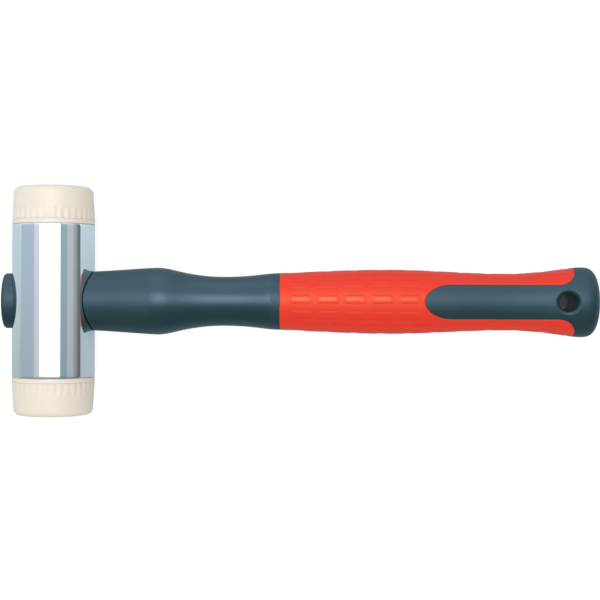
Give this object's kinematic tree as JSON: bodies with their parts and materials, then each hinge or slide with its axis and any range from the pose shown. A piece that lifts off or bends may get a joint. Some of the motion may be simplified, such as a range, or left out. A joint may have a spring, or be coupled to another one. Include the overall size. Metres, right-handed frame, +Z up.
{
  "type": "soft face hammer",
  "caption": "Soft face hammer: chromed steel barrel with screw-in nylon faces, on an oval handle with a soft rubber grip and a hanging hole in the butt.",
  "frame": {"origin": "middle of the bounding box at the surface that the hammer lies on", "axes": "+X along the handle towards the butt, +Y along the head axis towards the upper face, +Z up"},
  "size_m": [0.2766, 0.106, 0.038],
  "materials": {
    "chromed_steel": "polished chrome plate",
    "nylon": "satin cream nylon",
    "ring_nylon": "satin off-white nylon",
    "hard_handle": "fine-grained slate grey moulding",
    "soft_grip": "matte red soft moulding with smooth raised dashes",
    "fibreglass": "pultruded glass fibre",
    "resin": "cast resin"
  },
  "bodies": {
    "handle_and_barrel": {"head_barrel": "chromed_steel", "handle_shaft": "hard_handle", "grip_sleeve": "soft_grip", "core_rod": "fibreglass", "eye_resin": "resin", "eye_cap": "hard_handle"},
    "ring_up": {"upper_ring": "ring_nylon"},
    "face_up": {"upper_face": "nylon"},
    "ring_down": {"lower_ring": "ring_nylon"},
    "face_down": {"lower_face": "nylon"}
  },
  "joints": [
    {"name": "upper_face_advance", "type": "slide", "parent": "handle_and_barrel", "child": "ring_up", "axis": [0, 1, 0], "range_m": [0, 0.015]},
    {"name": "upper_face_turn", "type": "hinge", "parent": "ring_up", "child": "face_up", "pos_m": [-0.11555, 0.0375, 0.019], "axis": [0, 1, 0], "range_deg": [0, 2160]},
    {"name": "lower_face_advance", "type": "slide", "parent": "handle_and_barrel", "child": "ring_down", "axis": [0, -1, 0], "range_m": [0, 0.015]},
    {"name": "lower_face_turn", "type": "hinge", "parent": "ring_down", "child": "face_down", "pos_m": [-0.11555, -0.0375, 0.019], "axis": [0, -1, 0], "range_deg": [0, 2160]}
  ],
  "couplings": [
    {"joint": "upper_face_advance", "follows": "upper_face_turn", "m_per_rad": 0.00039788},
    {"joint": "lower_face_advance", "follows": "lower_face_turn", "m_per_rad": 0.00039788}
  ]
}
